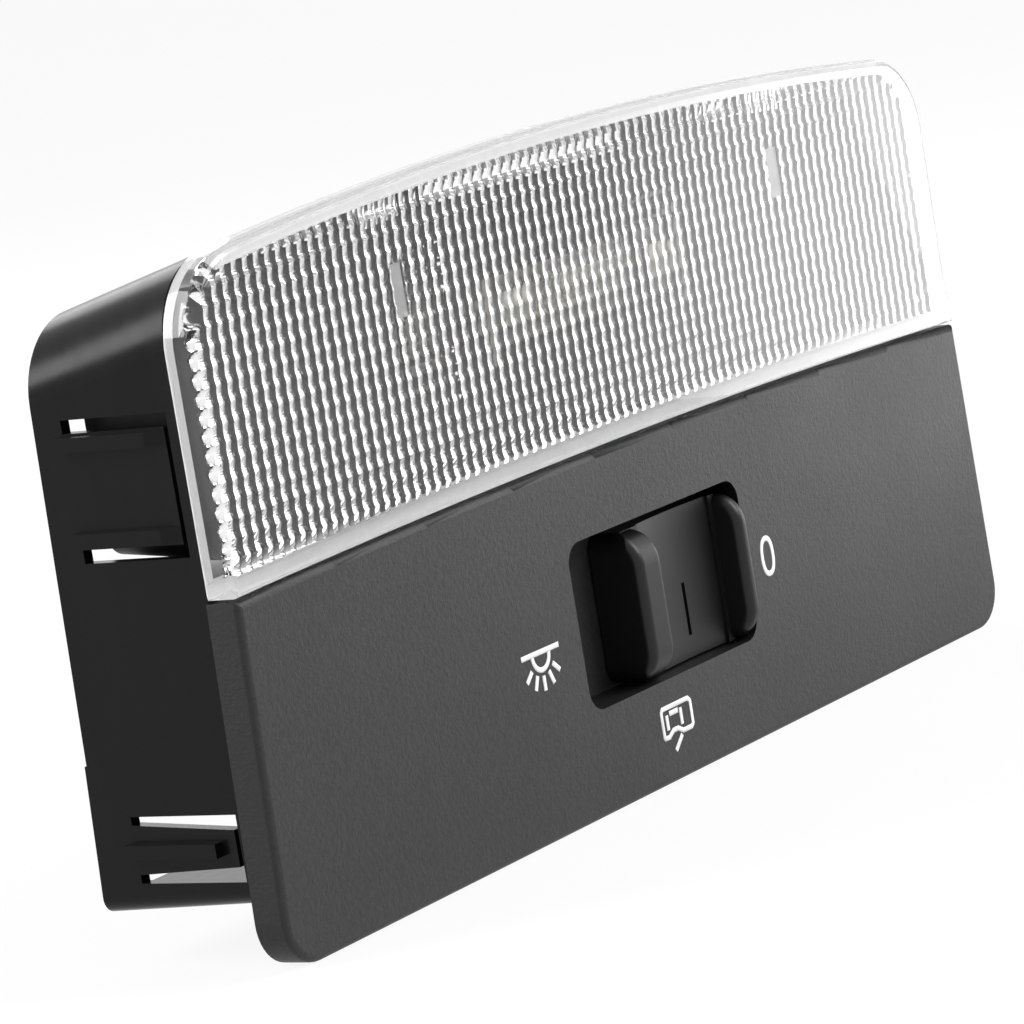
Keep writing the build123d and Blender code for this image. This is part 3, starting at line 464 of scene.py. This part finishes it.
def lens_blank():
    """The lens before its relief: front, rounded edge, skirt, and a fine flat grid behind the front."""
    columns = flute_columns()
    points = []
    faces = []
    grid = relief_grid(columns, points, faces)
    grid_count = len(points)
    low, high = points[grid[0][0]][2], points[grid[0][-1]][2]
    side_shares = [(points[index][2] - low) / (high - low) for index in grid[0][1:-1]]
    walk = stations(columns, side_shares)
    edge = [column[0] for column in grid]
    edge += grid[-1][1:-1]
    edge += [column[-1] for column in reversed(grid)]
    edge += reversed(grid[0][1:-1])
    rings = [edge]

    def ring(inset_and_y):
        start = len(points)
        for station in walk:
            inset, joint_inset, y = inset_and_y(station)
            x, z = station_point(station, inset, joint_inset)
            points.append((x, y, z))
        rings.append(list(range(start, start + len(walk))))

    ring(lambda s: (LENS_WALL, LENS_WALL, MEET_Y - LENS_RIM_CHAMFER))
    ring(lambda s: (LENS_WALL - LENS_RIM_CHAMFER, LENS_WALL - LENS_RIM_CHAMFER, MEET_Y))
    ring(lambda s: (LENS_REAR_EDGE_RADIUS, LENS_REAR_EDGE_RADIUS, MEET_Y))
    ring(lambda s: (0, 0, MEET_Y - LENS_REAR_EDGE_RADIUS))
    for step in range(EDGE_STEPS + 1):
        turn = math.radians(90 / EDGE_STEPS * step)

        def rounded(s, turn=turn):
            radius = edge_radius(s)
            inset = radius * (1 - math.cos(turn))
            return inset, inset, FACE_Y + radius * (1 - math.sin(turn))

        ring(rounded)
    count = len(walk)
    rim_start = len(faces) + count
    for near, far in zip(rings, rings[1:]):
        for k in range(count):
            n = (k + 1) % count
            faces.append((near[k], near[n], far[n], far[k]))
    faces.append(tuple(rings[-1]))
    add_lugs(points, faces)
    mesh = bpy.data.meshes.new("lens_blank")
    mesh.from_pydata([(x * MM, y * MM, z * MM) for x, y, z in points], [], faces)
    relief = mesh.attributes.new("relief", "FLOAT", "POINT")
    relief.data.foreach_set("value", [1.0 if i < grid_count else 0.0 for i in range(len(points))])
    rim = mesh.attributes.new("rim", "BOOLEAN", "FACE")
    rim_faces = range(rim_start, rim_start + RIM_BANDS * count)
    rim.data.foreach_set("value", [i in rim_faces for i in range(len(faces))])
    return mesh


def add_lugs(points, faces):
    """Two hooked tongues behind the top edge that slip under the housing's top wall."""
    front = MEET_Y - LUG_THICKNESS
    for side in (-1, 1):
        start = len(points)
        for i in range(LUG_STEPS + 1):
            x = side * LUG_OFFSET + LUG_WIDTH * (i / LUG_STEPS - 0.5)
            root = top_edge(x, LENS_WALL)
            top = top_edge(x, LUG_DROP)
            under = top - LUG_THICKNESS
            hook = [(front, root), (MEET_Y, root), (MEET_Y, top), (MEET_Y + LUG_LENGTH, top),
                    (MEET_Y + LUG_LENGTH, under), (front, under)]
            points.extend((x, y, z) for y, z in hook)
        size = len(hook)
        for i in range(LUG_STEPS):
            for k in range(size):
                a = start + i * size + k
                b = start + i * size + (k + 1) % size
                faces.append((a, b, b + size, a + size))
        faces.append(tuple(start + k for k in reversed(range(size))))
        faces.append(tuple(start + LUG_STEPS * size + k for k in range(size)))


def relief_tree():
    """Presses leaning flutes and cross waves into the grid, but not into the two flat, matt windows."""
    tree = bpy.data.node_groups.new("lens_relief", "GeometryNodeTree")
    face = tree.interface
    face.new_socket("Geometry", in_out="INPUT", socket_type="NodeSocketGeometry")
    sizes = ("Pitch", "Flute depth", "Crest share", "Wave depth", "Window middle", "Window offset",
             "Window level", "Window width", "Window height")
    for name in sizes:
        face.new_socket(name, in_out="INPUT", socket_type="NodeSocketFloat")
    face.new_socket("Material", in_out="INPUT", socket_type="NodeSocketMaterial")
    face.new_socket("Rim material", in_out="INPUT", socket_type="NodeSocketMaterial")
    face.new_socket("Window material", in_out="INPUT", socket_type="NodeSocketMaterial")
    face.new_socket("Geometry", in_out="OUTPUT", socket_type="NodeSocketGeometry")
    given = add_node(tree, "NodeGroupInput").outputs
    place = add_node(tree, "GeometryNodeInputPosition").outputs["Position"]
    xyz = add_node(tree, "ShaderNodeSeparateXYZ", {"Vector": place}).outputs
    pressed = add_node(tree, "GeometryNodeInputNamedAttribute", values={"Name": "relief"}, data_type="FLOAT")
    made = {name: given[name] for name in sizes}
    made.update({"x": xyz["X"], "z": xyz["Z"], "relief": pressed.outputs["Attribute"]})
    steps = [
        ("turn", "DIVIDE", "x", "Pitch"),
        ("across", "FRACT", "turn"),
        ("to crest", "SUBTRACT", "Crest share", "across"),
        ("before", "MAXIMUM", "to crest", 0.0),
        ("before", "DIVIDE", "before", "Crest share"),
        ("before", "POWER", "before", FLUTE_RISE_POWER),
        ("past crest", "MULTIPLY", "to crest", -1.0),
        ("past", "MAXIMUM", "past crest", 0.0),
        ("far share", "SUBTRACT", 1.0, "Crest share"),
        ("past", "DIVIDE", "past", "far share"),
        ("past", "POWER", "past", FLUTE_FALL_POWER),
        ("flute", "ADD", "before", "past"),
        ("flute", "MULTIPLY", "flute", "Flute depth"),
        ("level", "DIVIDE", "z", "Pitch"),
        ("along", "FRACT", "level"),
        ("along", "SUBTRACT", "along", 0.5),
        ("along", "MULTIPLY", "along", 2.0),
        ("wave", "MULTIPLY", "along", "along"),
        ("wave", "MULTIPLY", "wave", "Wave depth"),
        ("depth", "ADD", "flute", "wave"),
        ("from middle", "SUBTRACT", "x", "Window middle"),
        ("from middle", "ABSOLUTE", "from middle"),
        ("from window", "SUBTRACT", "from middle", "Window offset"),
        ("from window", "ABSOLUTE", "from window"),
        ("half width", "MULTIPLY", "Window width", 0.5),
        ("wide", "GREATER_THAN", "from window", "half width"),
        ("from level", "SUBTRACT", "z", "Window level"),
        ("from level", "ABSOLUTE", "from level"),
        ("half height", "MULTIPLY", "Window height", 0.5),
        ("tall", "GREATER_THAN", "from level", "half height"),
        ("outside", "MAXIMUM", "wide", "tall"),
        ("press", "MULTIPLY", "depth", "outside"),
        ("press", "MULTIPLY", "press", "relief"),
        ("inwards", "MULTIPLY", "press", -1.0),
        ("window", "SUBTRACT", 1.0, "outside"),
        ("matt", "MULTIPLY", "window", "relief"),
    ]
    for name, operation, *feeds in steps:
        links = {i: made[feed] for i, feed in enumerate(feeds) if isinstance(feed, str)}
        values = {i: feed for i, feed in enumerate(feeds) if not isinstance(feed, str)}
        node = add_node(tree, "ShaderNodeMath", links, operation=operation, values=values)
        made[name] = node.outputs["Value"]
    shift = add_node(tree, "ShaderNodeCombineXYZ", {"Y": made["inwards"]})
    moved = add_node(tree, "GeometryNodeSetPosition",
                     {"Geometry": given["Geometry"], "Offset": shift.outputs["Vector"]})
    whole = add_node(tree, "GeometryNodeRealizeInstances", {"Geometry": moved.outputs["Geometry"]})
    dressed = add_node(tree, "GeometryNodeSetMaterial",
                       {"Geometry": whole.outputs["Geometry"], "Material": given["Material"]})
    rim = add_node(tree, "GeometryNodeInputNamedAttribute", values={"Name": "rim"}, data_type="BOOLEAN")
    edged = add_node(tree, "GeometryNodeSetMaterial",
                     {"Geometry": dressed.outputs["Geometry"], "Selection": rim.outputs["Attribute"],
                      "Material": given["Rim material"]})
    glazed = add_node(tree, "GeometryNodeSetMaterial",
                      {"Geometry": edged.outputs["Geometry"], "Selection": made["matt"],
                       "Material": given["Window material"]})
    add_node(tree, "NodeGroupOutput", {"Geometry": glazed.outputs["Geometry"]})
    return tree


def grown(name, mesh, tree, inputs):
    """Runs a node tree on a mesh and keeps the result as a plain mesh object."""
    carrier = bpy.data.objects.new(name + "_carrier", mesh)
    bpy.context.scene.collection.objects.link(carrier)
    modifier = carrier.modifiers.new("grow", "NODES")
    modifier.node_group = tree
    for item in tree.interface.items_tree:
        if item.item_type == "SOCKET" and item.in_out == "INPUT" and item.name in inputs:
            modifier[item.identifier] = inputs[item.name]
    graph = bpy.context.evaluated_depsgraph_get()
    result = bpy.data.meshes.new_from_object(carrier.evaluated_get(graph))
    bpy.data.objects.remove(carrier)
    result.name = name
    piece = bpy.data.objects.new(name, result)
    bpy.context.scene.collection.objects.link(piece)
    return piece


def fluted_lens():
    """The finished lens: smooth all over but for its flat front and its sharp edges."""
    piece = grown("fluted_lens", lens_blank(), relief_tree(), {
        "Pitch": FLUTE_PITCH * MM,
        "Flute depth": FLUTE_DEPTH * MM,
        "Crest share": FLUTE_CREST,
        "Wave depth": WAVE_DEPTH * MM,
        "Window middle": WINDOW_MIDDLE * MM,
        "Window offset": WINDOW_OFFSET * MM,
        "Window level": WINDOW_LEVEL * MM,
        "Window width": WINDOW_WIDTH * MM,
        "Window height": WINDOW_HEIGHT * MM,
        "Material": ACRYLIC,
        "Rim material": GROUND_RIM,
        "Window material": SATIN_WINDOW,
    })
    mesh = piece.data
    front = max(mesh.polygons, key=lambda face: len(face.vertices)).index
    mesh.polygons.foreach_set("use_smooth", [face.index != front for face in mesh.polygons])
    mesh.set_sharp_from_angle(angle=math.radians(SHARP_DEGREES))
    return piece


lens = fluted_lens()
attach(lens, "lamp")
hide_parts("lens")


# Printed symbols: each stroke is a path in the face, given its width and thickness by one tree

def stroke_tree():
    """Lays a flat printed band along every path."""
    tree = bpy.data.node_groups.new("printed_stroke", "GeometryNodeTree")
    face = tree.interface
    face.new_socket("Geometry", in_out="INPUT", socket_type="NodeSocketGeometry")
    face.new_socket("Width", in_out="INPUT", socket_type="NodeSocketFloat")
    face.new_socket("Thickness", in_out="INPUT", socket_type="NodeSocketFloat")
    face.new_socket("Material", in_out="INPUT", socket_type="NodeSocketMaterial")
    face.new_socket("Geometry", in_out="OUTPUT", socket_type="NodeSocketGeometry")
    given = add_node(tree, "NodeGroupInput").outputs
    paths = add_node(tree, "GeometryNodeMeshToCurve", {"Mesh": given["Geometry"]})
    level = add_node(tree, "GeometryNodeSetCurveNormal", {"Curve": paths.outputs["Curve"]}, mode="FREE",
                     values={"Normal": (0.0, -1.0, 0.0)})
    band = add_node(tree, "GeometryNodeCurvePrimitiveQuadrilateral",
                    {"Width": given["Thickness"], "Height": given["Width"]})
    swept = add_node(tree, "GeometryNodeCurveToMesh",
                     {"Curve": level.outputs["Curve"], "Profile Curve": band.outputs["Curve"]},
                     values={"Fill Caps": True})
    whole = add_node(tree, "GeometryNodeRealizeInstances", {"Geometry": swept.outputs["Mesh"]})
    dressed = add_node(tree, "GeometryNodeSetMaterial",
                       {"Geometry": whole.outputs["Geometry"], "Material": given["Material"]})
    add_node(tree, "NodeGroupOutput", {"Geometry": dressed.outputs["Geometry"]})
    return tree


PRINTED_STROKE = stroke_tree()


def printed(name, paths, width):
    """A symbol from its paths: each is a list of (x, z) points in millimetres, closed if its ends meet."""
    points = []
    edges = []
    for path in paths:
        closed = path[0] == path[-1]
        run = path[:-1] if closed else path
        start = len(points)
        points += [(x * MM, (FACE_Y - PRINT_THICKNESS / 2) * MM, z * MM) for x, z in run]
        edges += [(start + i, start + i + 1) for i in range(len(run) - 1)]
        if closed:
            edges.append((start + len(run) - 1, start))
    mesh = bpy.data.meshes.new(name + "_paths")
    mesh.from_pydata(points, edges, [])
    piece = grown(name, mesh, PRINTED_STROKE, {
        "Width": width * MM,
        "Thickness": PRINT_THICKNESS * MM,
        "Material": PRINT_WHITE,
    })
    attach(piece, "lamp")


def oval(centre, half_width, half_height, steps, power):
    """A closed oval path; a power under one squares its shoulders."""
    path = []
    for i in range(steps):
        turn = math.tau * i / steps
        c, s = math.cos(turn), math.sin(turn)
        path.append((centre[0] + half_width * math.copysign(abs(c) ** power, c),
                     centre[1] + half_height * math.copysign(abs(s) ** power, s)))
    return path + path[:1]


def lamp_symbol():
    """A ceiling bar, a half dome under it and five rays."""
    middle = -19.95
    bar = -13.83
    half_bar = 2.95
    dome_gap = 0.2
    dome_half_width = 1.3
    dome_depth = 1.33
    dome_steps = 16
    hub = bar - 0.1
    ray_start = (2.1, 1.95)
    ray_end = (3.35, 3.25)
    dome = []
    for i in range(dome_steps + 1):
        turn = math.pi * i / dome_steps
        dome.append((middle - dome_half_width * math.cos(turn), bar - dome_gap - dome_depth * math.sin(turn)))
    rays = []
    for degrees in (-141, -116, -90, -64, -39):
        turn = math.radians(degrees)
        c, s = math.cos(turn), math.sin(turn)
        rays.append([(middle + across * c, hub + down * s) for across, down in (ray_start, ray_end)])
    return [[(middle - half_bar, bar), (middle + half_bar, bar)], dome] + rays


def door_symbol():
    """A car seen from above with one door open."""
    body = [(-2.85, -23.5), (-2.6, -23.25), (1.75, -23.25), (2.1, -23.55), (2.1, -25.55), (1.8, -25.82),
            (0.35, -25.82), (-0.45, -25.42), (-1.25, -25.42), (-2.05, -25.86), (-2.75, -25.86),
            (-2.85, -25.7), (-2.85, -23.5)]
    left_glass = [(-2.05, -23.9), (-2.05, -25.25)]
    right_glass = [(0.33, -23.75), (0.33, -25.25)]
    roof_edge = [(-1.55, -23.86), (-0.1, -23.86)]
    open_door = [(0.05, -26.1), (-1.3, -27.25)]
    return [body, left_glass, right_glass, roof_edge, open_door]


def off_symbol():
    """A plain tall 0."""
    return [oval(centre=(18.95, -14.2), half_width=0.95, half_height=1.62, steps=48, power=0.85)]


printed("lamp_symbol", lamp_symbol(), PRINT_STROKE)
printed("door_symbol", door_symbol(), PRINT_STROKE)
printed("off_symbol", off_symbol(), OFF_STROKE)


# Stage: pale floor, soft lights and white surroundings

def seen_share(tree):
    """1 for rays that show the white surroundings, straight, mirrored or through the lens, or else 0."""
    path = add_node(tree, "ShaderNodeLightPath").outputs
    seen = add_node(tree, "ShaderNodeMath", {0: path["Is Camera Ray"], 1: path["Is Glossy Ray"]},
                    operation="MAXIMUM")
    seen = add_node(tree, "ShaderNodeMath", {0: seen.outputs[0], 1: path["Is Transmission Ray"]},
                    operation="MAXIMUM")
    return seen.outputs[0]


def set_floor():
    """A pale paper floor under the part, which looks white but keeps the part's shadow."""
    low = cad_box[0][2]
    reach = 3.0
    corners = [(-reach, -reach, low), (reach, -reach, low), (reach, reach, low), (-reach, reach, low)]
    mesh = bpy.data.meshes.new("floor")
    mesh.from_pydata(corners, [], [(0, 1, 2, 3)])
    floor = bpy.data.objects.new("floor", mesh)
    bpy.context.scene.collection.objects.link(floor)
    material, tree, shader = new_material("floor_white")
    place = add_node(tree, "ShaderNodeTexCoord").outputs["Object"]
    paper = add_node(tree, "ShaderNodeTexNoise", {"Vector": place},
                     values={"Scale": per_mm(30), "Detail": 2.0})
    shade = add_node(tree, "ShaderNodeMix", {"Factor": paper.outputs["Fac"]}, data_type="RGBA")
    shade.inputs["A"].default_value = linear("#f4f4f4")
    shade.inputs["B"].default_value = linear("#f8f8f8")
    tree.links.new(shade.outputs["Result"], shader.inputs["Base Color"])
    shader.inputs["Roughness"].default_value = 0.9
    share = add_node(tree, "ShaderNodeMath", {0: seen_share(tree)}, operation="MULTIPLY",
                     values={1: FLOOR_GLOW})
    glow = add_node(tree, "ShaderNodeEmission", values={"Color": (1.0, 1.0, 1.0, 1.0), "Strength": 1.0})
    mix = add_node(tree, "ShaderNodeMixShader",
                   {"Fac": share.outputs[0], 1: shader.outputs["BSDF"], 2: glow.outputs["Emission"]})
    tree.links.new(mix.outputs["Shader"], tree.nodes["Material Output"].inputs["Surface"])
    mesh.materials.append(material)


def set_world():
    """White surroundings that light the part less than they show."""
    world = bpy.data.worlds.new("studio")
    bpy.context.scene.world = world
    world.use_nodes = True
    tree = world.node_tree
    background = tree.nodes["Background"]
    level = add_node(tree, "ShaderNodeMapRange", {"Value": seen_share(tree)},
                     values={"To Min": WORLD_LEVEL, "To Max": 1.0})
    tree.links.new(level.outputs["Result"], background.inputs["Strength"])
    background.inputs["Color"].default_value = (1.0, 1.0, 1.0, 1.0)


def set_light(name, place, aim, width, height, watts):
    """A rectangular soft box that the camera itself doesn't see."""
    data = bpy.data.lights.new(name, "AREA")
    data.shape = "RECTANGLE"
    data.size = width
    data.size_y = height
    data.energy = watts
    light = bpy.data.objects.new(name, data)
    bpy.context.scene.collection.objects.link(light)
    light.location = place
    light.rotation_euler = (Vector(aim) - Vector(place)).to_track_quat("-Z", "Y").to_euler()
    light.visible_camera = False
    return data


def fade_light(data, start, end):
    """Lets a soft box fade across its width, so that its mirror image has no edge."""
    data.use_nodes = True
    tree = data.node_tree
    across = add_node(tree, "ShaderNodeNewGeometry").outputs["Parametric"]
    share = add_node(tree, "ShaderNodeSeparateXYZ", {"Vector": across}).outputs["X"]
    fade = add_node(tree, "ShaderNodeMapRange", {"Value": share}, interpolation_type="SMOOTHSTEP",
                    values={"From Min": start, "From Max": end, "To Min": 0.0, "To Max": 1.0})
    tree.links.new(fade.outputs["Result"], tree.nodes["Emission"].inputs["Strength"])


def set_camera():
    """The photograph's long-lens view from the left front, a little above, turned on its axis."""
    data = bpy.data.cameras.new("photo_view")
    data.lens = 174.23
    data.sensor_width = 36.0
    data.sensor_fit = "HORIZONTAL"
    data.clip_start = 0.01
    camera = bpy.data.objects.new("photo_view", data)
    bpy.context.scene.collection.objects.link(camera)
    forward = Vector((0.8171, 0.5574, -0.1472)).normalized()
    leaning_up = Vector((0.2117, -0.0525, 0.9759))
    right = forward.cross(leaning_up).normalized()
    up = right.cross(forward)
    turn = Matrix((right, up, -forward)).transposed().to_4x4()
    place = Matrix.Translation((-0.3616, -0.2360, 0.0599))
    camera.matrix_world = place @ turn
    bpy.context.scene.camera = camera


set_floor()
set_world()
set_light("key", place=(0.35, -0.55, 0.55), aim=(0, 0, 0), width=0.5, height=0.5, watts=6.0)
set_light("left_back", place=(-0.43, 0.39, 0.385), aim=(0, 0, 0), width=0.3, height=0.5, watts=4.0)
set_light("right_back", place=(0.35, 0.49, 0.35), aim=(0, 0, 0), width=0.35, height=0.35, watts=0.8)
card = set_light("side_card", place=(0.15, -0.076, 0.004), aim=(0.0, -0.076, 0.004),
                 width=0.0925, height=0.07, watts=0.105)
fade_light(card, start=0.1, end=0.88)
set_camera()
bpy.context.scene.view_settings.view_transform = "Standard"
